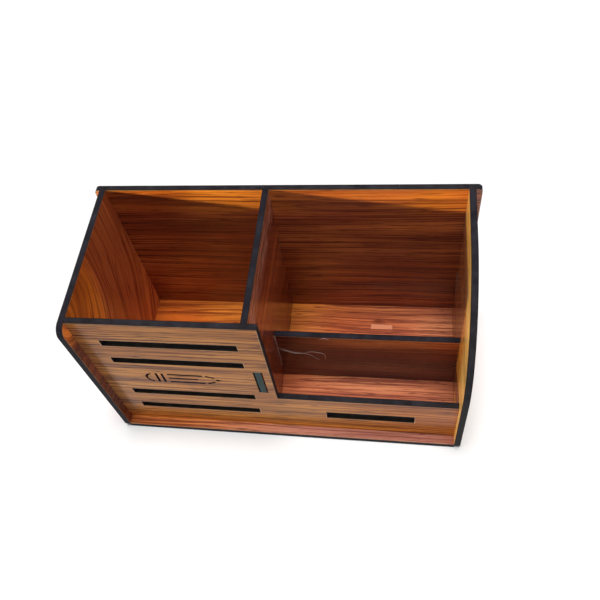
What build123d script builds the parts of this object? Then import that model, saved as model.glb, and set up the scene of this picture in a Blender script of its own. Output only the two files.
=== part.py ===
from build123d import *
import os

# Open pen stand for a desk, put together from flat laminated boards. Every
# panel is one flat board with through tenons on its edges and mortises in its
# face, so each outline is drawn in the board's own plane and given the board's
# thickness. Seen from the front: a deep cup for pens on the left behind a tall
# pierced front, a deep compartment at the right rear, and a shallow tray for
# cards at the right front behind the low arm of the same front board.
#
# Frame: X to the right, Y to the back, Z up. The origin lies on the table,
# under the middle of the whole stand. All lengths are in millimetres.

# ---------------------------------------------------------------- dimensions

# The board
board = 3.4  # thickness of the laminated board that all panels are cut from
cut_gap = 0.1  # play between a tenon and its mortise, on every side
loose_gap = 0.8  # play beside the pen divider's tenon in the front panel

# The box
body_width = 200.0  # over the outer faces of the two side panels
body_depth = 94.0  # from the front edge of the base to the back panel's rear face
body_height = 115.5  # from the table to the top edge of the tall panels
lip_depth = 5.6  # the base and the sides stand this far in front of the front
back_overhang = 3.2  # the back panel runs this far past each side panel

# The front panel, one L-shaped board
tall_front_width = 96.6  # from the left side panel to the step
low_front_height = 37.0  # from the base to the top of the low arm

# The inner panels
cup_width = 88.4  # clear width of the pen cup
tray_depth = 30.2  # clear depth of the card tray
tray_divider_height = 47.4  # from the base to the top of the tray divider

# Rounded corners of the outlines
left_top_radius = 6.0  # top front corner of the left side panel
right_top_radius = 60.0  # the same corner on the right, swept low over the tray
side_foot_radius = 3.5  # bottom front corner of either side panel
back_corner_radius = 2.5  # all four corners of the back panel

# Tenons and tabs: their length along the edge that they stand on
tall_tenon = 24.0  # on the upright edges of the tall panels
tall_tenon_pitch = 58.0  # between the two tenons of a tall edge
low_tenon = 16.0  # on the ends of the two low panels
foot_tenon = 14.0  # on the bottom edges that stand in the base
front_foot_pitch = 66.0  # between the foot tenons of the front panel
divider_foot_pitch = 46.0  # between the foot tenons of either divider
base_tab = 18.0  # on the ends and the rear edge of the base
base_end_pitch = 48.0  # between the two tabs of one end
base_rear_pitch = 116.0  # between the two tabs of the rear edge

# The plugged spare mortise in the floor of the rear compartment
plug_length = 13.3
plug_from_right = 43.2  # from the right side panel's inner face to its middle
plug_from_back = 15.3  # from the back panel's face to its middle

# Cut-outs of the front panel
long_slot_length = 71.4
long_slot_height = 5.6
long_slot_pitch = 18.2  # between neighbouring slots of a pair
long_slot_gap = 37.6  # between the two slots next to the middle band
low_slot_length = 48.4
low_slot_height = 7.6

# The outline of a pencil, cut as separate slits in the middle band
slit = 1.3  # width of every slit
bridge = 1.7  # least web that is left between two slits
pencil_length = 41.0
pencil_height = 10.0
pencil_cone = 10.0  # length of the sharpened end
pencil_ferrule = 4.6  # length of the collar behind the barrel
pencil_lead = 3.0  # length of the lead that shows

# -------------------------------------------------------------------- places

left_out = -body_width / 2
left_in = left_out + board
right_out = body_width / 2
right_in = right_out - board

lip_front = -body_depth / 2
front_face = lip_front + lip_depth
front_back = front_face + board
back_rear = body_depth / 2
back_face = back_rear - board

floor = board
low_front_top = floor + low_front_height
tray_divider_top = floor + tray_divider_height
tall_middle = (floor + body_height) / 2
low_front_middle = (floor + low_front_top) / 2
tray_divider_middle = (floor + tray_divider_top) / 2
tall_tenon_heights = [
    tall_middle - tall_tenon_pitch / 2,
    tall_middle + tall_tenon_pitch / 2,
]

divider_left = left_in + cup_width
divider_right = divider_left + board
tray_divider_face = front_back + tray_depth
tray_divider_rear = tray_divider_face + board

step = left_in + tall_front_width
tall_front_middle = (left_in + step) / 2
low_arm_middle = (step + right_out) / 2

inner_middle_y = (front_back + back_face) / 2
base_middle_y = (lip_front + back_face) / 2
right_bay_middle = (divider_right + right_in) / 2
divider_feet = [
    inner_middle_y - divider_foot_pitch / 2,
    inner_middle_y + divider_foot_pitch / 2,
]
tray_divider_feet = [
    right_bay_middle - divider_foot_pitch / 2,
    right_bay_middle + divider_foot_pitch / 2,
]
front_feet = [-front_foot_pitch, 0, front_foot_pitch]
base_end_tabs = [
    base_middle_y - base_end_pitch / 2,
    base_middle_y + base_end_pitch / 2,
]
base_rear_tabs = [-base_rear_pitch / 2, base_rear_pitch / 2]

plug_x = right_in - plug_from_right
plug_y = back_face - plug_from_back

os.makedirs("parts", exist_ok=True)

# ------------------------------------------------------------- board drawing


def board_area(low_u, high_u, low_v, high_v):
    """The rectangle between two corners, given in the board's own plane."""
    with Locations(((low_u + high_u) / 2, (low_v + high_v) / 2)):
        Rectangle(high_u - low_u, high_v - low_v)


def mortise(low_u, high_u, low_v, high_v):
    """The hole that a tenon between the same corners goes through with play."""
    with Locations(((low_u + high_u) / 2, (low_v + high_v) / 2)):
        Rectangle(
            high_u - low_u + 2 * cut_gap,
            high_v - low_v + 2 * cut_gap,
            mode=Mode.SUBTRACT,
        )


def edge_notch(middle_u):
    """The open notch in an upright board's bottom edge for a tab of the base."""
    mortise(middle_u - base_tab / 2, middle_u + base_tab / 2, -floor, floor)


def side_outline(outline, top_radius):
    """The outline of a side panel: rounded at the front, with notches for the
    base along the bottom and two tenons at the back."""
    board_area(lip_front, back_face, 0, body_height)
    foot_corner = outline.vertices().group_by(Axis.Y)[0].sort_by(Axis.X)[0]
    fillet(foot_corner, side_foot_radius)
    top_corner = outline.vertices().group_by(Axis.Y)[-1].sort_by(Axis.X)[0]
    fillet(top_corner, top_radius)
    for height in tall_tenon_heights:
        board_area(back_face, back_rear, height - tall_tenon / 2, height + tall_tenon / 2)
    for middle in base_end_tabs:
        edge_notch(middle)


# --------------------------------------------------------------------- base

with BuildPart() as base_panel:
    with BuildSketch(Plane.XY):
        board_area(left_in, right_in, lip_front, back_face)
        for middle in base_end_tabs:
            board_area(left_out, left_in, middle - base_tab / 2, middle + base_tab / 2)
            board_area(right_in, right_out, middle - base_tab / 2, middle + base_tab / 2)
        for middle in base_rear_tabs:
            board_area(middle - base_tab / 2, middle + base_tab / 2, back_face, back_rear)
        for middle in front_feet:
            mortise(middle - foot_tenon / 2, middle + foot_tenon / 2, front_face, front_back)
        for middle in divider_feet:
            mortise(divider_left, divider_right, middle - foot_tenon / 2, middle + foot_tenon / 2)
        for middle in tray_divider_feet:
            mortise(
                middle - foot_tenon / 2,
                middle + foot_tenon / 2,
                tray_divider_face,
                tray_divider_rear,
            )
        mortise(
            plug_x - plug_length / 2,
            plug_x + plug_length / 2,
            plug_y - board / 2,
            plug_y + board / 2,
        )
    extrude(amount=board)
base_panel.part.label = "base_panel"
export_step(base_panel.part, "parts/base_panel.step")

# The plug fills the spare mortise and lies flush with the floor and underside.
with BuildPart() as floor_plug:
    with BuildSketch(Plane.XY):
        with Locations((plug_x, plug_y)):
            Rectangle(plug_length, board)
    extrude(amount=board)
floor_plug.part.label = "floor_plug"
export_step(floor_plug.part, "parts/floor_plug.step")

# -------------------------------------------------------------- side panels

# A side panel is drawn in the YZ plane and grows towards +X.
with BuildPart() as left_side_panel:
    with BuildSketch(Plane.YZ.offset(left_out)) as left_outline:
        side_outline(left_outline, left_top_radius)
        for height in tall_tenon_heights:
            mortise(front_face, front_back, height - tall_tenon / 2, height + tall_tenon / 2)
    extrude(amount=board)
left_side_panel.part.label = "left_side_panel"
export_step(left_side_panel.part, "parts/left_side_panel.step")

with BuildPart() as right_side_panel:
    with BuildSketch(Plane.YZ.offset(right_in)) as right_outline:
        side_outline(right_outline, right_top_radius)
        mortise(
            front_face,
            front_back,
            low_front_middle - low_tenon / 2,
            low_front_middle + low_tenon / 2,
        )
        mortise(
            tray_divider_face,
            tray_divider_rear,
            tray_divider_middle - low_tenon / 2,
            tray_divider_middle + low_tenon / 2,
        )
    extrude(amount=board)
right_side_panel.part.label = "right_side_panel"
export_step(right_side_panel.part, "parts/right_side_panel.step")

# --------------------------------------------------------------- back panel

# A cross panel is drawn on its rear face in the XZ plane and grows towards -Y.
with BuildPart() as back_panel:
    with BuildSketch(Plane.XZ.offset(-back_rear)) as back_outline:
        board_area(left_out - back_overhang, right_out + back_overhang, 0, body_height)
        fillet(back_outline.vertices(), back_corner_radius)
        for height in tall_tenon_heights:
            mortise(left_out, left_in, height - tall_tenon / 2, height + tall_tenon / 2)
            mortise(right_in, right_out, height - tall_tenon / 2, height + tall_tenon / 2)
        mortise(
            divider_left,
            divider_right,
            tall_middle - tall_tenon / 2,
            tall_middle + tall_tenon / 2,
        )
        for middle in base_rear_tabs:
            edge_notch(middle)
    extrude(amount=board)
back_panel.part.label = "back_panel"
export_step(back_panel.part, "parts/back_panel.step")

# -------------------------------------------------------------- front panel

# The pencil lies level in the middle band, its point to the right. Its
# outline is a chain of slits, with webs between them that hold the inside.
pencil_half = (pencil_height - slit) / 2
pencil_left = tall_front_middle - pencil_length / 2
pencil_right = tall_front_middle + pencil_length / 2
collar_left = pencil_left + pencil_half
collar_right = collar_left + pencil_ferrule
barrel_left = collar_right + bridge + slit / 2
barrel_right = pencil_right - pencil_cone
lead_left = pencil_right - pencil_lead
collar_lines = [collar_left + slit / 2, collar_right - slit / 2]


def pencil_slits():
    """Cut the pencil: a round end, a collar, a barrel, a cone and a lead."""
    with BuildLine(mode=Mode.PRIVATE) as round_end:
        CenterArc((collar_left - slit, tall_middle), pencil_half, 105, 150)
    trace(round_end.line, slit, mode=Mode.SUBTRACT)
    for line in collar_lines:
        with Locations((line, tall_middle)):
            Rectangle(slit, pencil_height, mode=Mode.SUBTRACT)
    barrel_middle = (barrel_left + barrel_right) / 2
    barrel_length = barrel_right - barrel_left
    with Locations(
        (barrel_middle, tall_middle - pencil_half),
        (barrel_middle, tall_middle + pencil_half),
    ):
        Rectangle(barrel_length, slit, mode=Mode.SUBTRACT)
    with Locations((barrel_middle - bridge, tall_middle)):
        Rectangle(barrel_length - 2 * bridge, slit, mode=Mode.SUBTRACT)
    cone_left = barrel_right + bridge
    lead_half = pencil_half * pencil_lead / pencil_cone
    for turn in (-1, 1):
        cone_start = (cone_left, tall_middle + turn * pencil_half)
        cone_end = (lead_left - bridge / 2, tall_middle + turn * (lead_half + bridge / 2))
        with BuildLine(mode=Mode.PRIVATE) as cone_edge:
            Line(cone_start, cone_end)
        trace(cone_edge.line, slit, mode=Mode.SUBTRACT)
    with BuildSketch(mode=Mode.PRIVATE) as lead:
        with BuildLine():
            Polyline(
                (lead_left, tall_middle - lead_half),
                (pencil_right, tall_middle),
                (lead_left, tall_middle + lead_half),
                close=True,
            )
        make_face()
    add(lead.sketch, mode=Mode.SUBTRACT)


with BuildPart() as front_panel:
    with BuildSketch(Plane.XZ.offset(-front_back)):
        board_area(left_in, step, floor, body_height)
        board_area(step, right_in, floor, low_front_top)
        for height in tall_tenon_heights:
            board_area(left_out, left_in, height - tall_tenon / 2, height + tall_tenon / 2)
        board_area(
            right_in,
            right_out,
            low_front_middle - low_tenon / 2,
            low_front_middle + low_tenon / 2,
        )
        for middle in front_feet:
            board_area(middle - foot_tenon / 2, middle + foot_tenon / 2, 0, floor)
        mortise(
            divider_left + cut_gap - loose_gap,
            divider_right - cut_gap + loose_gap,
            tall_middle - tall_tenon / 2,
            tall_middle + tall_tenon / 2,
        )
        for half in (-1, 1):
            nearest = tall_middle + half * long_slot_gap / 2
            with Locations(
                (tall_front_middle, nearest),
                (tall_front_middle, nearest + half * long_slot_pitch),
            ):
                Rectangle(long_slot_length, long_slot_height, mode=Mode.SUBTRACT)
        with Locations((low_arm_middle, low_front_middle)):
            Rectangle(low_slot_length, low_slot_height, mode=Mode.SUBTRACT)
        pencil_slits()
    extrude(amount=board)
front_panel.part.label = "front_panel"
export_step(front_panel.part, "parts/front_panel.step")

# ------------------------------------------------------------ inner dividers

with BuildPart() as pen_divider:
    with BuildSketch(Plane.YZ.offset(divider_left)):
        board_area(front_back, back_face, floor, body_height)
        board_area(
            front_face,
            front_back,
            tall_middle - tall_tenon / 2,
            tall_middle + tall_tenon / 2,
        )
        board_area(
            back_face,
            back_rear,
            tall_middle - tall_tenon / 2,
            tall_middle + tall_tenon / 2,
        )
        for middle in divider_feet:
            board_area(middle - foot_tenon / 2, middle + foot_tenon / 2, 0, floor)
        mortise(
            tray_divider_face,
            tray_divider_rear,
            tray_divider_middle - low_tenon / 2,
            tray_divider_middle + low_tenon / 2,
        )
    extrude(amount=board)
pen_divider.part.label = "pen_divider"
export_step(pen_divider.part, "parts/pen_divider.step")

with BuildPart() as tray_divider:
    with BuildSketch(Plane.XZ.offset(-tray_divider_rear)):
        board_area(divider_right, right_in, floor, tray_divider_top)
        board_area(
            divider_left,
            divider_right,
            tray_divider_middle - low_tenon / 2,
            tray_divider_middle + low_tenon / 2,
        )
        board_area(
            right_in,
            right_out,
            tray_divider_middle - low_tenon / 2,
            tray_divider_middle + low_tenon / 2,
        )
        for middle in tray_divider_feet:
            board_area(middle - foot_tenon / 2, middle + foot_tenon / 2, 0, floor)
    extrude(amount=board)
tray_divider.part.label = "tray_divider"
export_step(tray_divider.part, "parts/tray_divider.step")
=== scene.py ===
import math

import bpy
import numpy as np
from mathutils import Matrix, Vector


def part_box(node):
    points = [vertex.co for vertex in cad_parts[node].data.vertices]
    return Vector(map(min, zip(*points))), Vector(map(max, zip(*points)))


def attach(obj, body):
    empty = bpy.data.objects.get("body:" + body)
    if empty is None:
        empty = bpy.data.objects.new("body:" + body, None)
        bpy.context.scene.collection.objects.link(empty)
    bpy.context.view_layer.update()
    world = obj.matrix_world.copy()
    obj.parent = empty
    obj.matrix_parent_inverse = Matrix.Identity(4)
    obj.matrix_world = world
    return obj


# Looks of an open pen stand made of flat boards: fibreboard with a glossy
# wood-print laminate on both faces, cut by laser so that every edge is charred.
# Lengths are in metres unless a name or comment says millimetres, and the
# shaders work in millimetres.

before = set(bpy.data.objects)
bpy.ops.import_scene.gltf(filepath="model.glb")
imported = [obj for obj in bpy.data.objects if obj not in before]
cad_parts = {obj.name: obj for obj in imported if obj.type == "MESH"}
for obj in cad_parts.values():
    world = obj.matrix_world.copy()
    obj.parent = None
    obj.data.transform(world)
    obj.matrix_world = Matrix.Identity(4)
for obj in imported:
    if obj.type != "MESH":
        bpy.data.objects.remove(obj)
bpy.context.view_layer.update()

# ------------------------------------------------------------ places of boards

LEFT_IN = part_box("left_side_panel")[1].x
RIGHT_IN, RIGHT_OUT = (corner.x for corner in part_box("right_side_panel"))
LIP_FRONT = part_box("base_panel")[0].y
FRONT_FACE, FRONT_BACK = (corner.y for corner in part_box("front_panel"))
BACK_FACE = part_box("back_panel")[0].y
BACK_LEFT, BACK_RIGHT = (corner.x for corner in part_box("back_panel"))
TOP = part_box("back_panel")[1].z
FLOOR_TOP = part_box("base_panel")[1].z
DIVIDER_LEFT, DIVIDER_RIGHT = (corner.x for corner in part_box("pen_divider"))
TRAY_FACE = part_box("tray_divider")[0].y
TRAY_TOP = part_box("tray_divider")[1].z
BOARD_THICKNESS = FRONT_BACK - FRONT_FACE

# The front panel's own sizes. A slot is (length, height).
TALL_FRONT_WIDTH = 0.0966
LOW_FRONT_HEIGHT = 0.0370
LONG_SLOT = (0.0714, 0.0056)
LONG_SLOT_RISES = (-0.0370, -0.0188, 0.0188, 0.0370)  # from the tall part's middle
LOW_SLOT = (0.0484, 0.0076)
TENON_LENGTH = 0.024
STEP_X = LEFT_IN + TALL_FRONT_WIDTH
LOW_FRONT_TOP = FLOOR_TOP + LOW_FRONT_HEIGHT
TALL_MIDDLE = (FLOOR_TOP + TOP) / 2
LONG_SLOT_X = (LEFT_IN + STEP_X) / 2
LOW_SLOT_PLACE = ((STEP_X + RIGHT_OUT) / 2, (FLOOR_TOP + LOW_FRONT_TOP) / 2)

LEFT_TOP_RADIUS = 0.006
RIGHT_TOP_RADIUS = 0.060
BACK_CORNER_RADIUS = 0.0025
BEYOND = 0.05  # an outline that is glued to a neighbour is drawn this far past it

MM = 1000.0

# ---------------------------------------------------------------------- camera

CAMERA_PLACE = (0.06551, -0.19866, 0.39180)
CAMERA_TURN = (32.363, 8.958, 7.635)  # degrees about X, Y and Z
CAMERA_LENS = 42.167
CAMERA_SHIFT = (0.07138, 0.01163)
CAMERA_CLIP = (0.01, 20.0)


def make_camera():
    """The photo's view: from the front and above, about 33 degrees off straight
    down. The shift puts the stand where it lies in the photo's frame."""
    data = bpy.data.cameras.new("photo_camera")
    data.lens = CAMERA_LENS
    data.shift_x, data.shift_y = CAMERA_SHIFT
    data.clip_start, data.clip_end = CAMERA_CLIP
    camera = bpy.data.objects.new("photo_camera", data)
    camera.location = CAMERA_PLACE
    camera.rotation_euler = [math.radians(turn) for turn in CAMERA_TURN]
    bpy.context.scene.collection.objects.link(camera)
    bpy.context.scene.camera = camera


# -------------------------------------------------------------- shader helpers

FLOAT = "NodeSocketFloat"
COLOUR = "NodeSocketColor"
VECTOR = "NodeSocketVector"


def linear(red, green, blue):
    """A colour given as it looks on a screen, 0 to 255, in linear light."""
    values = []
    for channel in (red, green, blue):
        share = channel / 255
        values.append(share / 12.92 if share <= 0.04045 else ((share + 0.055) / 1.055) ** 2.4)
    return (*values, 1.0)


def feed(tree, socket, value):
    """Put a value on a socket, or link another socket into it."""
    if isinstance(value, bpy.types.NodeSocket):
        tree.links.new(value, socket)
    else:
        socket.default_value = value


def calc(tree, operation, *values):
    """One step of arithmetic on values, sockets or both."""
    node = tree.nodes.new("ShaderNodeMath")
    node.operation = operation
    for socket, value in zip(node.inputs, values):
        feed(tree, socket, value)
    return node.outputs[0]


def product(tree, first, *others):
    """Values, sockets or both, multiplied together."""
    for other in others:
        first = calc(tree, "MULTIPLY", first, other)
    return first


def diagonal(tree, first, second):
    """The length of the line whose two legs are given."""
    squares = [calc(tree, "MULTIPLY", leg, leg) for leg in (first, second)]
    return calc(tree, "SQRT", calc(tree, "ADD", *squares))


def ramp(tree, value, low, high, start=0.0, end=1.0):
    """A smooth step that goes from start to end while value goes low to high."""
    node = tree.nodes.new("ShaderNodeMapRange")
    node.interpolation_type = "SMOOTHSTEP"
    for label, setting in (
        ("Value", value),
        ("From Min", low),
        ("From Max", high),
        ("To Min", start),
        ("To Max", end),
    ):
        feed(tree, node.inputs[label], setting)
    return node.outputs["Result"]


def blend(tree, factor, first, second, kind="RGBA"):
    """Mix two colours, or two values where kind is FLOAT."""
    node = tree.nodes.new("ShaderNodeMix")
    node.data_type = kind
    feed(tree, node.inputs["Factor"], factor)
    feed(tree, node.inputs["A"], first)
    feed(tree, node.inputs["B"], second)
    return node.outputs["Result"]


def vector(tree, x, y, z):
    node = tree.nodes.new("ShaderNodeCombineXYZ")
    for socket, value in zip(node.inputs, (x, y, z)):
        feed(tree, socket, value)
    return node.outputs[0]


def split(tree, value):
    node = tree.nodes.new("ShaderNodeSeparateXYZ")
    tree.links.new(value, node.inputs[0])
    return node.outputs


def noise(tree, place, scale, detail=2.0, roughness=0.5):
    node = tree.nodes.new("ShaderNodeTexNoise")
    feed(tree, node.inputs["Vector"], place)
    feed(tree, node.inputs["Scale"], scale)
    feed(tree, node.inputs["Detail"], detail)
    feed(tree, node.inputs["Roughness"], roughness)
    return node.outputs["Fac"]


def grain_noise(tree, along, across, sheet, layer):
    """Noise drawn out along the grain. A layer is its cells a millimetre along
    and across the grain, its detail and its roughness."""
    along_scale, across_scale, detail, roughness = layer
    place = vector(
        tree,
        calc(tree, "MULTIPLY", along, along_scale),
        calc(tree, "MULTIPLY", across, across_scale),
        sheet,
    )
    return noise(tree, place, 1.0, detail, roughness)


def new_group(name, inputs, outputs):
    """An empty node group with named sockets: its tree, inputs and outputs."""
    tree = bpy.data.node_groups.new(name, "ShaderNodeTree")
    for label, kind in inputs:
        tree.interface.new_socket(label, in_out="INPUT", socket_type=kind)
    for label, kind in outputs:
        tree.interface.new_socket(label, in_out="OUTPUT", socket_type=kind)
    return tree, tree.nodes.new("NodeGroupInput").outputs, tree.nodes.new("NodeGroupOutput").inputs


def use_group(tree, group, **values):
    """Place a group in a material and feed its sockets by name."""
    node = tree.nodes.new("ShaderNodeGroup")
    node.node_tree = group
    for label, value in values.items():
        feed(tree, node.inputs[label.replace("_", " ")], value)
    return node.outputs


def new_material(name):
    """A material, its node tree and its shader's sockets."""
    material = bpy.data.materials.new(name)
    material.use_nodes = True
    tree = material.node_tree
    return material, tree, tree.nodes["Principled BSDF"].inputs


# ---------------------------------------------------- shared effects as groups

# Layers of the print and of the glue smear's streaks, as grain_noise reads them.
WAVE_LAYER = (0.012, 0.03, 1.0, 0.5)
TONE_LAYER = (0.018, 0.03, 1.0, 0.5)
BAND_LAYER = (0.006, 0.13, 2.0, 0.5)
STRIPE_LAYER = (0.008, 0.62, 2.0, 0.55)
VEIN_LAYER = (0.010, 0.46, 2.0, 0.6)
PORE_LAYER = (0.13, 3.0, 2.0, 0.6)
STREAK_LAYER = (0.05, 0.9, 2.0, 0.6)
ARCH_SQUEEZE = 0.6
VEIN_HALF_WIDTH = 0.030

CHAR_DARK = linear(26, 24, 29)
CHAR_PALE = linear(42, 41, 48)
CHAR_ASH = linear(84, 80, 78)
CHAR_SKIN = linear(34, 24, 20)
CHAR_SHINE = 0.04
SKIN_DEPTH = 0.42  # millimetres of laminate on either side of the core
RIDGE_SCALE = 4.0  # cells a millimetre

# Scales of the other noises, in cells a metre.
RIM_SCALE = 110.0
CLOUD_SCALE = 120.0
ASH_SCALE = 900.0
GLOSS_SCALE = 38.0
ROSY_SCALE = 22.0
SMEAR_SCALE = 30.0
KNOT_SCALE = 260.0
FIBRE_SCALE = 900.0
MILK_SCALE = 700.0


def make_wood_print():
    """The printed wood. Along and Across are millimetres on the face. A slow
    wave bends the grain, and Arch turns it into rings round a point, squeezed
    along the grain, which reads as a cathedral figure. Band is the broad light
    and dark, Stripe the darker bands of a few millimetres, Vein the thin lines
    where slow noise crosses its middle, Pore the short dashes."""
    tree, given, result = new_group(
        "wood_print",
        [
            ("Along", FLOAT),
            ("Across", FLOAT),
            ("Sheet", FLOAT),
            ("Wander", FLOAT),
            ("Fineness", FLOAT),
            ("Arch", FLOAT),
            ("Arch Foot", FLOAT),
            ("Arch Middle", FLOAT),
        ],
        [("Band", FLOAT), ("Stripe", FLOAT), ("Vein", FLOAT), ("Pore", FLOAT), ("Tone", FLOAT)],
    )
    along, across, sheet = given["Along"], given["Across"], given["Sheet"]
    wave = calc(tree, "SUBTRACT", grain_noise(tree, along, across, sheet, WAVE_LAYER), 0.5)
    bent = calc(tree, "MULTIPLY_ADD", wave, given["Wander"], across)
    ring_side = calc(tree, "SUBTRACT", bent, given["Arch Middle"])
    ring_rise = calc(tree, "MULTIPLY", calc(tree, "SUBTRACT", along, given["Arch Foot"]), ARCH_SQUEEZE)
    bowed = blend(tree, given["Arch"], bent, diagonal(tree, ring_side, ring_rise), "FLOAT")
    grain = calc(tree, "MULTIPLY", bowed, given["Fineness"])
    length = calc(tree, "MULTIPLY", along, given["Fineness"])
    band = grain_noise(tree, length, grain, sheet, BAND_LAYER)
    stripe = grain_noise(tree, length, grain, sheet, STRIPE_LAYER)
    vein = grain_noise(tree, length, grain, sheet, VEIN_LAYER)
    vein_gap = calc(tree, "ABSOLUTE", calc(tree, "SUBTRACT", vein, 0.5))
    pore = grain_noise(tree, length, grain, sheet, PORE_LAYER)
    tone = grain_noise(tree, along, across, sheet, TONE_LAYER)
    feed(tree, result["Band"], ramp(tree, band, 0.40, 0.60))
    feed(tree, result["Stripe"], ramp(tree, stripe, 0.50, 0.60))
    feed(tree, result["Vein"], ramp(tree, vein_gap, 0.0, VEIN_HALF_WIDTH, 1.0, 0.0))
    feed(tree, result["Pore"], ramp(tree, pore, 0.50, 0.72))
    feed(tree, result["Tone"], ramp(tree, tone, 0.3, 0.7))
    return tree


def make_board_outline():
    """Signed distance in millimetres from a point to a rectangle with rounded
    corners, negative inside it: the length of the part of the offset beyond
    the inner rectangle, or within that rectangle the negative distance to its
    nearest side, less the radius."""
    tree, given, result = new_group(
        "board_outline",
        [
            ("U", FLOAT),
            ("V", FLOAT),
            ("Middle U", FLOAT),
            ("Middle V", FLOAT),
            ("Half U", FLOAT),
            ("Half V", FLOAT),
            ("Radius", FLOAT),
        ],
        [("Distance", FLOAT)],
    )
    sides = []
    for name in ("U", "V"):
        offset = calc(tree, "SUBTRACT", given[name], given[f"Middle {name}"])
        inner = calc(tree, "SUBTRACT", given[f"Half {name}"], given["Radius"])
        sides.append(calc(tree, "SUBTRACT", calc(tree, "ABSOLUTE", offset), inner))
    length = diagonal(tree, *(calc(tree, "MAXIMUM", side, 0.0) for side in sides))
    within = calc(tree, "MINIMUM", calc(tree, "MAXIMUM", *sides), 0.0)
    total = calc(tree, "ADD", length, within)
    feed(tree, result["Distance"], calc(tree, "SUBTRACT", total, given["Radius"]))
    return tree


def make_cut_rim():
    """Marks on the face beside a cut: a thin pale line that is a painted highlight along the cut, and
    soot that fades out over Reach. Inside is the distance from the cut in millimetres."""
    tree, given, result = new_group(
        "cut_rim",
        [("Inside", FLOAT), ("Place", VECTOR), ("Reach", FLOAT), ("Width", FLOAT)],
        [("Highlight", FLOAT), ("Soot", FLOAT)],
    )
    inside = given["Inside"]
    patches = noise(tree, given["Place"], RIM_SCALE, 3.0, 0.6)
    uneven = ramp(tree, patches, 0.35, 0.65, 0.35, 1.0)
    rising = ramp(tree, inside, 0.02, 0.18)
    falling = ramp(tree, inside, calc(tree, "MULTIPLY", given["Width"], 0.5), given["Width"], 1.0, 0.0)
    feed(tree, result["Highlight"], product(tree, rising, falling, uneven))
    reach = calc(tree, "MULTIPLY", given["Reach"], calc(tree, "ADD", patches, 0.5))
    soot = ramp(tree, inside, 0.0, reach, 1.0, 0.0)
    feed(tree, result["Soot"], calc(tree, "POWER", soot, 2.0))
    return tree


def make_charred_cut():
    """The burnt wall of a cut. The core is slate black with fine ridges that
    the beam leaves square to the faces, and the laminate on either side shows
    as a browner skin. Ridge Place is in millimetres, squeezed through the
    board, and Off Middle is the distance from the board's middle plane."""
    tree, given, result = new_group(
        "charred_cut",
        [("Ridge Place", VECTOR), ("Place", VECTOR), ("Off Middle", FLOAT), ("Half Board", FLOAT)],
        [("Colour", COLOUR), ("Roughness", FLOAT), ("Height", FLOAT)],
    )
    ridges = noise(tree, given["Ridge Place"], RIDGE_SCALE, 2.0, 0.6)
    clouds = noise(tree, given["Place"], CLOUD_SCALE, 3.0, 0.6)
    ash = ramp(tree, noise(tree, given["Place"], ASH_SCALE, 2.0, 0.5), 0.66, 0.78, 0.0, 0.5)
    core = blend(tree, ramp(tree, clouds, 0.3, 0.72), CHAR_DARK, CHAR_PALE)
    core = blend(tree, ramp(tree, ridges, 0.4, 0.75, 0.0, 0.35), core, CHAR_PALE)
    core = blend(tree, ash, core, CHAR_ASH)
    skin_start = calc(tree, "SUBTRACT", given["Half Board"], SKIN_DEPTH)
    skin = ramp(tree, given["Off Middle"], skin_start, calc(tree, "ADD", skin_start, 0.12))
    feed(tree, result["Colour"], blend(tree, calc(tree, "MULTIPLY", skin, 0.8), core, CHAR_SKIN))
    feed(tree, result["Roughness"], ramp(tree, clouds, 0.3, 0.7, 0.48, 0.66))
    feed(tree, result["Height"], ridges)
    return tree


WOOD_PRINT = make_wood_print()
BOARD_OUTLINE = make_board_outline()
CUT_RIM = make_cut_rim()
CHARRED_CUT = make_charred_cut()

# ------------------------------------------------------------- laminate finishes

# The pale line along the cut edges is a painted highlight.
RIM_HIGHLIGHT = linear(232, 190, 150)
SOOT = linear(36, 22, 16)


def tones(light, warm, dark, vein):
    """The four colours of a print, each as it looks on a screen."""
    return {"light": linear(*light), "warm": linear(*warm), "dark": linear(*dark), "vein": linear(*vein)}


# The base, its rosier side and its lip in front of the front panel
ORANGE_PRINT = tones((228, 135, 48), (197, 97, 34), (120, 50, 22), (84, 32, 18))
ROSY_PRINT = tones((214, 136, 94), (190, 104, 70), (122, 60, 46), (84, 37, 32))
LIP_PRINT = tones((193, 133, 113), (171, 107, 89), (132, 76, 65), (103, 52, 47))
# The left side, its top front corner in painted light, and its strip in front of the front panel, darker
# in painted shade
RUSSET_PRINT = tones((244, 138, 72), (220, 108, 58), (146, 64, 38), (92, 38, 27))
LIT_CORNER_PRINT = tones((250, 142, 50), (230, 116, 40), (176, 82, 34), (130, 56, 27))
SHADED_STRIP_PRINT = tones((150, 78, 46), (122, 54, 36), (80, 34, 26), (54, 23, 19))
# The right side and its paler upper edge, in painted light
SANDY_PRINT = tones((210, 144, 84), (190, 118, 66), (138, 78, 42), (106, 54, 32))
LIT_EDGE_PRINT = tones((244, 206, 156), (228, 182, 130), (186, 134, 90), (150, 104, 70))
# The back, its brighter top, partly a lighter print and partly painted light, the pen divider and the
# card divider's shaded part
DEEP_PRINT = tones((202, 114, 62), (164, 80, 48), (102, 45, 32), (66, 27, 21))
BRIGHT_AND_LIT_PRINT = tones((232, 140, 58), (196, 102, 48), (122, 56, 34), (72, 29, 22))
DIVIDER_PRINT = tones((186, 94, 51), (149, 65, 41), (92, 37, 27), (58, 23, 18))
DARK_PRINT = tones((118, 50, 34), (98, 41, 30), (70, 29, 24), (50, 20, 17))
# The front, its warmer foot, which is a painted reflection of the base's lip, and its warmer right end
TAN_PRINT = tones((194, 131, 65), (176, 113, 55), (116, 66, 40), (70, 38, 27))
WARM_AND_REFLECTED_PRINT = tones((214, 134, 50), (196, 112, 40), (128, 66, 30), (76, 38, 22))
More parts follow.
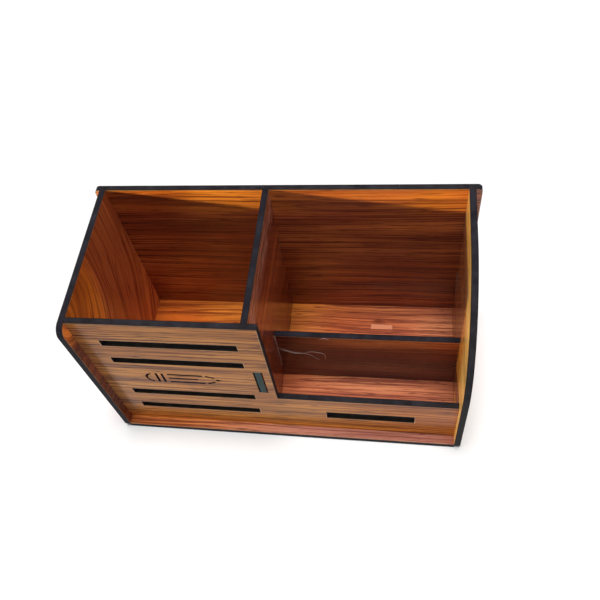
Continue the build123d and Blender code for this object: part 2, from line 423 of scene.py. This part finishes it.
# Marks and the plug
GLUE_ON_WOOD = linear(200, 146, 128)
KNOT = linear(96, 44, 24)
TENON_END = linear(66, 80, 80)
PLUG_PALE = linear(210, 138, 102)
PLUG_DARK = linear(190, 118, 86)
KNOT_PLACE = (51.3, 32.1)  # X and Y in millimetres
KNOT_SIZE = (6.0, 2.8)  # half its length and half its width, in millimetres

# The laminate's surface. Lengths with MM in their name are in millimetres.
OTHER_FACE_STEP = 3.7  # the other face of a board shows another part of the print
FACE_SQUARENESS = 0.7  # a normal with less than this through the board is a cut wall
SOOT_REACH_MM = 1.4
SOOT_STRENGTH = 0.4
RIDGE_SQUEEZE = 0.02
GLOSS_ROUGHNESS = (0.15, 0.26)
LAMINATE_IOR = 1.5
SOFT_EDGE_RADIUS = 0.00018
BUMP_STRENGTH = 0.22
BUMP_DEPTH = 0.0001
PORE_DEPTH = -0.4


def nearest_edge(tree, u, v, areas, cuts):
    """Signed distance to a board's outline in millimetres: the nearest of its
    areas, kept clear of its cut-outs. An area is (low u, high u, low v, high v,
    radius) in metres."""

    def one(area):
        low_u, high_u, low_v, high_v, radius = (value * MM for value in area)
        return use_group(
            tree,
            BOARD_OUTLINE,
            U=u,
            V=v,
            Middle_U=(low_u + high_u) / 2,
            Middle_V=(low_v + high_v) / 2,
            Half_U=(high_u - low_u) / 2,
            Half_V=(high_v - low_v) / 2,
            Radius=radius,
        )["Distance"]

    distance = one(areas[0])
    for area in areas[1:]:
        distance = calc(tree, "MINIMUM", distance, one(area))
    for cut in cuts:
        distance = calc(tree, "MAXIMUM", distance, calc(tree, "MULTIPLY", one(cut), -1.0))
    return distance


def print_colours(tree, wood, colours, stripes):
    """The four colours of a print laid over one another by the wood's masks."""
    ground = blend(tree, wood["Tone"], colours["light"], colours["warm"])
    ground = blend(tree, calc(tree, "MULTIPLY", wood["Band"], 0.5), ground, colours["dark"])
    striped = blend(tree, calc(tree, "MULTIPLY", wood["Stripe"], stripes), ground, colours["dark"])
    veined = blend(tree, calc(tree, "MULTIPLY", wood["Vein"], stripes), striped, colours["vein"])
    return blend(tree, calc(tree, "MULTIPLY", wood["Pore"], 0.35), veined, colours["vein"])


def board_material(
    node,
    through,
    grain,
    sheet,
    colours,
    areas,
    cuts=(),
    stripes=0.7,
    wander=5.0,
    fineness=1.0,
    arch=(0.0, 0.0, 0.0),
    zones=(),
    rim_highlight=0.35,
    rim_width=0.7,
    shine=0.5,
    marks=None,
    end_marks=None,
):
    """Laminate on the two faces of a flat board and char on its cut walls.
    through is the axis that the board's thickness lies along and grain the
    axis that its print runs along, as 0, 1 or 2 for X, Y or Z. arch is its
    strength, foot and middle. A zone is another set of colours and a function
    that makes the mask to blend it in. marks paints more on the face, and
    end_marks on the cut walls."""
    material, tree, surface = new_material(f"{node}_board")
    coordinates = tree.nodes.new("ShaderNodeTexCoord")
    place = coordinates.outputs["Object"]
    axis = [calc(tree, "MULTIPLY", output, MM) for output in split(tree, place)]
    facing = split(tree, coordinates.outputs["Normal"])
    squareness = calc(tree, "ABSOLUTE", facing[through])
    cut_wall = calc(tree, "LESS_THAN", squareness, FACE_SQUARENESS)

    flat = [number for number in (0, 1, 2) if number != through]
    across = [number for number in flat if number != grain][0]
    rear_side = calc(tree, "GREATER_THAN", facing[through], 0.0)
    wood = use_group(
        tree,
        WOOD_PRINT,
        Along=axis[grain],
        Across=axis[across],
        Sheet=calc(tree, "MULTIPLY_ADD", rear_side, OTHER_FACE_STEP, sheet),
        Wander=wander,
        Fineness=fineness,
        Arch=arch[0],
        Arch_Foot=arch[1] * MM,
        Arch_Middle=arch[2] * MM,
    )
    colour = print_colours(tree, wood, colours, stripes)
    for zone_colours, make_mask in zones:
        zone = print_colours(tree, wood, zone_colours, stripes)
        colour = blend(tree, make_mask(tree, axis, place), colour, zone)
    if marks is not None:
        colour = marks(tree, axis, place, facing, colour)

    outside = nearest_edge(tree, axis[flat[0]], axis[flat[1]], areas, cuts)
    inside = calc(tree, "MULTIPLY", outside, -1.0)
    edge_marks = use_group(
        tree,
        CUT_RIM,
        Inside=inside,
        Place=place,
        Reach=SOOT_REACH_MM,
        Width=rim_width,
    )
    sooty = blend(tree, calc(tree, "MULTIPLY", edge_marks["Soot"], SOOT_STRENGTH), colour, SOOT)
    # Painted highlight: a pale line laid along every cut edge.
    face = blend(tree, calc(tree, "MULTIPLY", edge_marks["Highlight"], rim_highlight), sooty, RIM_HIGHLIGHT)

    low_corner, high_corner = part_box(node)
    middle = (low_corner[through] + high_corner[through]) / 2 * MM
    squeezed = list(axis)
    squeezed[through] = calc(tree, "MULTIPLY", axis[through], RIDGE_SQUEEZE)
    char = use_group(
        tree,
        CHARRED_CUT,
        Ridge_Place=vector(tree, *squeezed),
        Place=place,
        Off_Middle=calc(tree, "ABSOLUTE", calc(tree, "SUBTRACT", axis[through], middle)),
        Half_Board=BOARD_THICKNESS / 2 * MM,
    )
    charred = char["Colour"]
    if end_marks is not None:
        charred = end_marks(tree, axis, place, facing, charred)
    feed(tree, surface["Base Color"], blend(tree, cut_wall, face, charred))
    clouds = noise(tree, place, GLOSS_SCALE, 3.0, 0.55)
    gloss = ramp(tree, clouds, 0.35, 0.7, *GLOSS_ROUGHNESS)
    feed(tree, surface["Roughness"], blend(tree, cut_wall, gloss, char["Roughness"], "FLOAT"))
    feed(tree, surface["Specular IOR Level"], blend(tree, cut_wall, shine, CHAR_SHINE, "FLOAT"))
    surface["IOR"].default_value = LAMINATE_IOR

    soft_edge = tree.nodes.new("ShaderNodeBevel")
    soft_edge.samples = 4
    soft_edge.inputs["Radius"].default_value = SOFT_EDGE_RADIUS
    bump = tree.nodes.new("ShaderNodeBump")
    bump.inputs["Strength"].default_value = BUMP_STRENGTH
    bump.inputs["Distance"].default_value = BUMP_DEPTH
    sunk_pores = calc(tree, "MULTIPLY", wood["Pore"], PORE_DEPTH)
    feed(tree, bump.inputs["Height"], blend(tree, cut_wall, sunk_pores, char["Height"], "FLOAT"))
    feed(tree, bump.inputs["Normal"], soft_edge.outputs["Normal"])
    feed(tree, surface["Normal"], bump.outputs["Normal"])
    return material


# Masks for the zones. Each takes the tree, X, Y and Z in millimetres, and the
# place that noise reads. A mask fades over a stretch, in millimetres.
LIT_CORNER_REACH = (28.0, 42.0)  # from the corner
BRIGHT_AND_LIT_BAND = (13.0, 22.0)  # below the back's top
LIT_BAND = (-34.0, -6.0)  # from the right side's outline
FRONT_LINE = 0.2  # either way from the front panel's face
LIP_PALING = (-60.0, 30.0)  # X
STRIP_TOP = (94.0, 110.0)  # Z
LIP_REFLECTION_FOOT = (6.0, 13.0)  # Z
WARM_RIGHT = (-20.0, 80.0)  # X
SHADE_LOW = (9.0, 16.0)  # below the card divider's top
SHADE_LEFT = (0.0, 34.0)  # X
ROSY_SLOPE = (0.0100, -0.0105)  # gain for each millimetre along X and Y


def rosy_mask(tree, axis, place):
    """The base grows rosier to the right and to the front."""
    depth_slope = calc(tree, "MULTIPLY", axis[1], ROSY_SLOPE[1])
    slope = calc(tree, "MULTIPLY_ADD", axis[0], ROSY_SLOPE[0], depth_slope)
    uneven = calc(tree, "MULTIPLY", noise(tree, place, ROSY_SCALE, 2.0, 0.5), 0.5)
    return ramp(tree, calc(tree, "ADD", slope, uneven), -0.45, 0.9)


def painted_light_corner_mask(tree, axis, place):
    """Painted light: the left side is lighter and golden round its top corner at the front."""
    side = calc(tree, "SUBTRACT", axis[1], FRONT_BACK * MM)
    rise = calc(tree, "MULTIPLY", calc(tree, "SUBTRACT", axis[2], TOP * MM), ARCH_SQUEEZE)
    return ramp(tree, diagonal(tree, side, rise), *LIT_CORNER_REACH, 1.0, 0.0)


def bright_and_lit_band_mask(tree, axis, place):
    """The back is brighter along its top: partly a lighter print, partly painted light where the low
    lamp's wedge of light falls.
    """
    below_top = calc(tree, "SUBTRACT", TOP * MM, axis[2])
    return ramp(tree, below_top, *BRIGHT_AND_LIT_BAND, 0.85, 0.0)


def painted_light_band_mask(tree, axis, place):
    """Painted light: the right side grows paler towards its curved upper edge."""
    distance = nearest_edge(tree, axis[1], axis[2], [right_side_area()], ())
    return ramp(tree, distance, *LIT_BAND)


def ahead_of_front(tree, axis):
    """1 where a board stands in front of the front panel."""
    face = FRONT_FACE * MM
    return ramp(tree, axis[1], face - FRONT_LINE, face + FRONT_LINE, 1.0, 0.0)


def lip_mask(tree, axis, place):
    """The base's lip is the paler, the further right."""
    return product(tree, ahead_of_front(tree, axis), ramp(tree, axis[0], *LIP_PALING, 0.1, 1.0))


def painted_shade_strip_mask(tree, axis, place):
    """Painted shade: the left side's strip in front of the front panel is darker, but for its upper end."""
    return product(tree, ahead_of_front(tree, axis), ramp(tree, axis[2], *STRIP_TOP, 1.0, 0.0))


def warm_and_reflection_mask(tree, axis, place):
    """The front is warmer along its foot, where a reflection of the base's lip is painted, and towards
    the right.
    """
    foot = ramp(tree, axis[2], *LIP_REFLECTION_FOOT, 0.9, 0.0)
    return calc(tree, "MAXIMUM", foot, ramp(tree, axis[0], *WARM_RIGHT, 0.0, 0.8))


def shaded_mask(tree, axis, place):
    """The card divider is dark, with a warmer band below its top on the right."""
    below_top = calc(tree, "SUBTRACT", TRAY_TOP * MM, axis[2])
    low = ramp(tree, below_top, *SHADE_LOW)
    left = ramp(tree, axis[0], *SHADE_LEFT, 1.0, 0.0)
    return calc(tree, "MAXIMUM", low, left)


# Marks on a board. Each also takes the way the surface faces, and returns the
# colour with the mark laid over it.
SMEAR_SHEET = 5.0
# Where the smear begins and ends, in millimetres below the divider's top.
SMEAR_START = (1.0, 3.0)
SMEAR_END = (12.0, 22.0)
TENON_END_DEPTH = 1.0  # millimetres behind the front panel's face


def glue_smear(tree, axis, place, facing, colour):
    """Pale streaks of dried glue along the divider's upper edge, on the side of
    the rear compartment."""
    streaks = grain_noise(tree, axis[1], axis[2], SMEAR_SHEET, STREAK_LAYER)
    below_top = calc(tree, "SUBTRACT", TOP * MM, axis[2])
    mask = product(
        tree,
        ramp(tree, below_top, *SMEAR_START),
        ramp(tree, below_top, *SMEAR_END, 1.0, 0.0),
        ramp(tree, noise(tree, place, SMEAR_SCALE, 2.0, 0.5), 0.38, 0.56, 0.25, 1.0),
        ramp(tree, streaks, 0.42, 0.58, 0.0, 0.85),
        calc(tree, "GREATER_THAN", facing[0], 0.5),
    )
    return blend(tree, mask, colour, GLUE_ON_WOOD)


def knot(tree, axis, place, facing, colour):
    """A small brown knot in the print, beside the plug."""
    legs = [
        calc(tree, "DIVIDE", calc(tree, "SUBTRACT", axis[n], KNOT_PLACE[n]), KNOT_SIZE[n])
        for n in (0, 1)
    ]
    uneven = calc(tree, "MULTIPLY", noise(tree, place, KNOT_SCALE, 3.0, 0.6), 0.8)
    reach = calc(tree, "ADD", diagonal(tree, *legs), uneven)
    return blend(tree, ramp(tree, reach, 0.5, 1.4, 0.75, 0.0), colour, KNOT)


def tenon_end(tree, axis, place, facing, colour):
    """The end of the divider's tenon, seen in the front panel, is slate."""
    ahead = calc(tree, "LESS_THAN", facing[1], -FACE_SQUARENESS)
    front = calc(tree, "LESS_THAN", axis[1], FRONT_FACE * MM + TENON_END_DEPTH)
    return blend(tree, calc(tree, "MULTIPLY", ahead, front), colour, TENON_END)


def rectangle(middle_u, middle_v, length, height):
    """A square-cornered area about a middle, as nearest_edge reads it."""
    return (
        middle_u - length / 2,
        middle_u + length / 2,
        middle_v - height / 2,
        middle_v + height / 2,
        0.0,
    )


def front_cuts():
    """The front panel's slots, and the end of the pen divider's tenon in it."""
    cuts = [rectangle(LONG_SLOT_X, TALL_MIDDLE + rise, *LONG_SLOT) for rise in LONG_SLOT_RISES]
    cuts.append(rectangle(*LOW_SLOT_PLACE, *LOW_SLOT))
    divider_middle = (DIVIDER_LEFT + DIVIDER_RIGHT) / 2
    cuts.append(rectangle(divider_middle, TALL_MIDDLE, BOARD_THICKNESS, TENON_LENGTH))
    return cuts


def plug_material():
    """The plug is pale, with fine fibres."""
    material, tree, surface = new_material("pale_plug")
    coordinates = tree.nodes.new("ShaderNodeTexCoord")
    fibres = noise(tree, coordinates.outputs["Object"], FIBRE_SCALE, 3.0, 0.6)
    feed(tree, surface["Base Color"], blend(tree, fibres, PLUG_PALE, PLUG_DARK))
    feed(tree, surface["Roughness"], ramp(tree, fibres, 0.3, 0.7, 0.3, 0.45))
    return material


# ---------------------------------------------------------------- strings of glue

# Places of the strings on the card divider's front face, X and Z, and their
# sizes, all in millimetres.
GLUE_STRINGS = (
    (
        (-3.5, 37.4), (-2.0, 34.8), (0.5, 33.9), (3.3, 32.3),
        (6.9, 31.8), (10.6, 31.8), (14.0, 30.1), (19.4, 24.0),
    ),
    ((10.6, 31.8), (14.4, 34.1), (17.7, 34.0), (21.5, 32.8), (22.9, 29.8), (22.4, 25.2)),
    ((-2.8, 36.4), (1.2, 34.6), (5.0, 32.6), (9.0, 32.1)),
    ((20.8, 48.6), (22.4, 50.3), (24.1, 50.5), (26.4, 49.0)),
)
STRING_RADIUS = 0.13
STRING_LIFT = 0.25  # how far the middle of a string stands off the face
GLUE_BEAD = ((-4.4, 51.5), (-4.4, 45.0), (-4.3, 38.1), (-4.3, 27.1), (-4.4, 15.5))
BEAD_RADIUS = 0.42
BEAD_LIFT = 0.3
BEAD_RIPPLE = 0.3  # as a share of its radius
BEAD_WAVES = (19.0, 7.3)  # radians from one end to the other
GLUE_DARK = linear(190, 158, 156)
GLUE_PALE = linear(232, 206, 200)
GLUE_ALPHA = 0.45


def smooth_path(points, steps=12):
    """A Catmull-Rom curve through points: on each stretch the cubic that takes
    its direction at both ends from the neighbouring points."""
    points = np.asarray(points, float)
    padded = np.vstack((2 * points[0] - points[1], points, 2 * points[-1] - points[-2]))
    before, start, end, after = padded[:-3], padded[1:-2], padded[2:-1], padded[3:]
    share = np.linspace(0.0, 1.0, steps, endpoint=False)[None, :, None]
    before, start, end, after = (stop[:, None, :] for stop in (before, start, end, after))
    curve = 0.5 * (
        2 * start
        + (end - before) * share
        + (2 * before - 5 * start + 4 * end - after) * share**2
        + (3 * start - before - 3 * end + after) * share**3
    )
    return np.vstack((curve.reshape(-1, points.shape[1]), points[-1:]))


def make_tube(name, path, radii, material, sides=10):
    """A round skin along a path of places in metres: at each place a circle of
    the radius given for it, square to the path. Both ends are left open."""
    along = np.gradient(path, axis=0)
    along /= np.linalg.norm(along, axis=1, keepdims=True)
    first = np.cross(along, np.array([0.0, 1.0, 0.0]))
    first /= np.linalg.norm(first, axis=1, keepdims=True)
    second = np.cross(along, first)
    angle = np.linspace(0.0, 2 * np.pi, sides, endpoint=False)[None, :, None]
    circle = first[:, None, :] * np.cos(angle) + second[:, None, :] * np.sin(angle)
    skin = path[:, None, :] + circle * radii[:, None, None]
    rings = len(path)
    low = np.arange(sides)
    high = np.roll(low, -1)
    row = (np.arange(rings - 1) * sides)[:, None]
    quads = np.stack((row + low, row + high, row + sides + high, row + sides + low), axis=-1)
    mesh = bpy.data.meshes.new(name)
    mesh.from_pydata(skin.reshape(-1, 3).tolist(), [], quads.reshape(-1, 4).tolist())
    mesh.shade_smooth()
    mesh.materials.append(material)
    piece = bpy.data.objects.new(name, mesh)
    bpy.context.scene.collection.objects.link(piece)
    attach(piece, "root")


def glue_material():
    """Dried glue: thin, milky and a little shiny."""
    material, tree, surface = new_material("dried_glue")
    coordinates = tree.nodes.new("ShaderNodeTexCoord")
    milk = noise(tree, coordinates.outputs["Object"], MILK_SCALE, 2.0, 0.5)
    feed(tree, surface["Base Color"], blend(tree, milk, GLUE_DARK, GLUE_PALE))
    feed(tree, surface["Roughness"], ramp(tree, milk, 0.3, 0.7, 0.25, 0.45))
    surface["Alpha"].default_value = GLUE_ALPHA
    return material


def make_glue():
    """Threads of glue pulled over the card divider's face, and the bead in the
    corner between it and the pen divider. A thread lifts off the face as half a
    sine wave, and its radius grows from a quarter to the full one, and back, as
    that wave's square root. The bead's radius ripples as a sine multiplied by a
    slower cosine."""
    material = glue_material()
    face = TRAY_FACE * MM
    for number, points in enumerate(GLUE_STRINGS, 1):
        flat = smooth_path(points)
        swing = np.sin(np.linspace(0.0, np.pi, len(flat)))
        depth = face - STRING_RADIUS - STRING_LIFT * swing
        path = np.column_stack((flat[:, 0], depth, flat[:, 1])) / MM
        radii = STRING_RADIUS * (0.25 + 0.75 * np.sqrt(swing)) / MM
        make_tube(f"glue_string_{number}", path, radii, material)
    flat = smooth_path(GLUE_BEAD, 16)
    fast, slow = (np.linspace(0.0, turn, len(flat)) for turn in BEAD_WAVES)
    radii = BEAD_RADIUS * (1.0 + BEAD_RIPPLE * np.sin(fast) * np.cos(slow)) / MM
    path = np.column_stack((flat[:, 0], np.full(len(flat), face - BEAD_LIFT), flat[:, 1])) / MM
    make_tube("glue_bead", path, radii, material)


def right_side_area():
    """The right side's outline, drawn past its rear and lower edges."""
    reach = BEYOND + 2 * RIGHT_TOP_RADIUS
    return (LIP_FRONT, BACK_FACE + reach, -reach, TOP, RIGHT_TOP_RADIUS)


def dress_boards():
    """Give each board its own sheet of the print, with its own outline. Only
    the free edges of a board are drawn in their place."""
    left = LEFT_IN - BEYOND
    right = RIGHT_IN + BEYOND
    rear = BACK_FACE + BEYOND
    below = -BEYOND
    boards = {
        "base_panel": dict(
            through=2,
            grain=0,
            sheet=11.0,
            colours=ORANGE_PRINT,
            areas=[(left, right, LIP_FRONT, rear, 0.0)],
            stripes=0.85,
            fineness=1.5,
            zones=[(ROSY_PRINT, rosy_mask), (LIP_PRINT, lip_mask)],
            marks=knot,
        ),
        "left_side_panel": dict(
            through=0,
            grain=2,
            sheet=23.0,
            colours=RUSSET_PRINT,
            areas=[(LIP_FRONT, rear, below, TOP, LEFT_TOP_RADIUS)],
            arch=(1.0, TOP, FRONT_BACK),
            wander=18.0,
            zones=[(LIT_CORNER_PRINT, painted_light_corner_mask), (SHADED_STRIP_PRINT, painted_shade_strip_mask)],
        ),
        "right_side_panel": dict(
            through=0,
            grain=1,
            sheet=37.0,
            colours=SANDY_PRINT,
            areas=[right_side_area()],
            zones=[(LIT_EDGE_PRINT, painted_light_band_mask)],
            rim_highlight=0.8,
            rim_width=1.1,
        ),
        "back_panel": dict(
            through=1,
            grain=0,
            sheet=41.0,
            colours=DEEP_PRINT,
            areas=[(BACK_LEFT, BACK_RIGHT, 0.0, TOP, BACK_CORNER_RADIUS)],
            stripes=0.8,
            zones=[(BRIGHT_AND_LIT_PRINT, bright_and_lit_band_mask)],
        ),
        "front_panel": dict(
            through=1,
            grain=0,
            sheet=53.0,
            colours=TAN_PRINT,
            areas=[(left, STEP_X, below, TOP, 0.0), (left, right, below, LOW_FRONT_TOP, 0.0)],
            cuts=front_cuts(),
            stripes=0.95,
            wander=1.5,
            fineness=1.1,
            zones=[(WARM_AND_REFLECTED_PRINT, warm_and_reflection_mask)],
            shine=0.12,
        ),
        "pen_divider": dict(
            through=0,
            grain=1,
            sheet=67.0,
            colours=DIVIDER_PRINT,
            areas=[(FRONT_BACK - BEYOND, rear, below, TOP, 0.0)],
            rim_highlight=0.7,
            rim_width=1.5,
            marks=glue_smear,
            end_marks=tenon_end,
        ),
        "tray_divider": dict(
            through=1,
            grain=0,
            sheet=71.0,
            colours=DEEP_PRINT,
            areas=[(DIVIDER_RIGHT - BEYOND, right, below, TRAY_TOP, 0.0)],
            zones=[(DARK_PRINT, shaded_mask)],
        ),
    }
    finishes = {node: board_material(node, **looks) for node, looks in boards.items()}
    finishes["floor_plug"] = plug_material()
    for node, material in finishes.items():
        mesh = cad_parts[node].data
        mesh.materials.clear()
        mesh.materials.append(material)


# --------------------------------------------------------------- stage and light

SKY_LEVEL = 0.18
OVERHEAD_STRENGTH = 3.7
OVERHEAD_SOFTNESS = 22.0  # degrees
LAMP_HEIGHT = 1.3
TABLE_COLOUR = (0.80, 0.80, 0.80, 1.0)
TABLE_ROUGHNESS = 0.9
TABLE_SPECULAR = 0.1
TABLE_REACH = 3.0
WARM_LIGHT = (1.0, 0.90, 0.24)
WHITE_LIGHT = (1.0, 1.0, 1.0)
# Each side lamp's way of travel, colour, strength, softness in degrees and the
# one board that it reaches.
SIDE_LAMPS = {
    "low_lamp_back": ((1.0, 0.65, -0.178), WARM_LIGHT, 5.2, 2.0, "back_panel"),
    "low_lamp_right": ((1.0, 0.34, -0.178), WARM_LIGHT, 2.6, 2.0, "right_side_panel"),
    "low_lamp_front": ((1.0, 0.7, -0.5), WARM_LIGHT, 1.4, 24.0, "front_panel"),
    "fill_lamp_left": ((-1.0, 0.15, -1.3), WHITE_LIGHT, 0.5, 40.0, "left_side_panel"),
}


def seen_directly(tree):
    """1 for camera rays, mirror rays and rays through glass, 0 for diffuse."""
    path = tree.nodes.new("ShaderNodeLightPath")
    seen = calc(tree, "MAXIMUM", path.outputs["Is Camera Ray"], path.outputs["Is Glossy Ray"])
    return calc(tree, "MAXIMUM", seen, path.outputs["Is Transmission Ray"])


def make_stage():
    """A pale table top, just light enough to render white outside the shadow."""
    corners = np.array([(-1, -1, 0), (1, -1, 0), (1, 1, 0), (-1, 1, 0)], float) * TABLE_REACH
    mesh = bpy.data.meshes.new("table_top")
    mesh.from_pydata(corners.tolist(), [], [(0, 1, 2, 3)])
    table = bpy.data.objects.new("table_top", mesh)
    bpy.context.scene.collection.objects.link(table)
    material, _, surface = new_material("white_table")
    surface["Base Color"].default_value = TABLE_COLOUR
    surface["Roughness"].default_value = TABLE_ROUGHNESS
    surface["Specular IOR Level"].default_value = TABLE_SPECULAR
    mesh.materials.append(material)


def add_lamp(name, light, place, turn):
    """Place a lamp. Glossy faces mirror the white sky and never the lamp."""
    lamp = bpy.data.objects.new(name, light)
    lamp.visible_glossy = False
    lamp.location = place
    lamp.rotation_euler = turn
    bpy.context.scene.collection.objects.link(lamp)
    return lamp


def make_light():
    """A white sky, a soft lamp overhead, and side lamps: low warm ones on the
    left that skim over the top edges into the stand, and one weak fill."""
    world = bpy.data.worlds.new("studio")
    bpy.context.scene.world = world
    world.use_nodes = True
    tree = world.node_tree
    background = tree.nodes["Background"]
    background.inputs["Color"].default_value = (1.0, 1.0, 1.0, 1.0)
    strength = calc(tree, "MULTIPLY_ADD", seen_directly(tree), 1.0 - SKY_LEVEL, SKY_LEVEL)
    feed(tree, background.inputs["Strength"], strength)

    overhead = bpy.data.lights.new("overhead", "SUN")
    overhead.energy = OVERHEAD_STRENGTH
    overhead.angle = math.radians(OVERHEAD_SOFTNESS)
    add_lamp("overhead", overhead, (0.0, 0.0, LAMP_HEIGHT), (0.0, 0.0, 0.0))

    for name, (heading, colour, strength, softness, node) in SIDE_LAMPS.items():
        light = bpy.data.lights.new(name, "SUN")
        light.energy = strength
        light.angle = math.radians(softness)
        light.color = colour
        place = [-along for along in heading]
        turn = Vector(heading).to_track_quat("-Z", "Y").to_euler()
        reached = bpy.data.collections.new(f"reached_by_{name}")
        reached.objects.link(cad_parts[node])
        add_lamp(name, light, place, turn).light_linking.receiver_collection = reached


make_camera()
dress_boards()
make_glue()
make_stage()
make_light()
bpy.context.scene.view_settings.view_transform = "Standard"
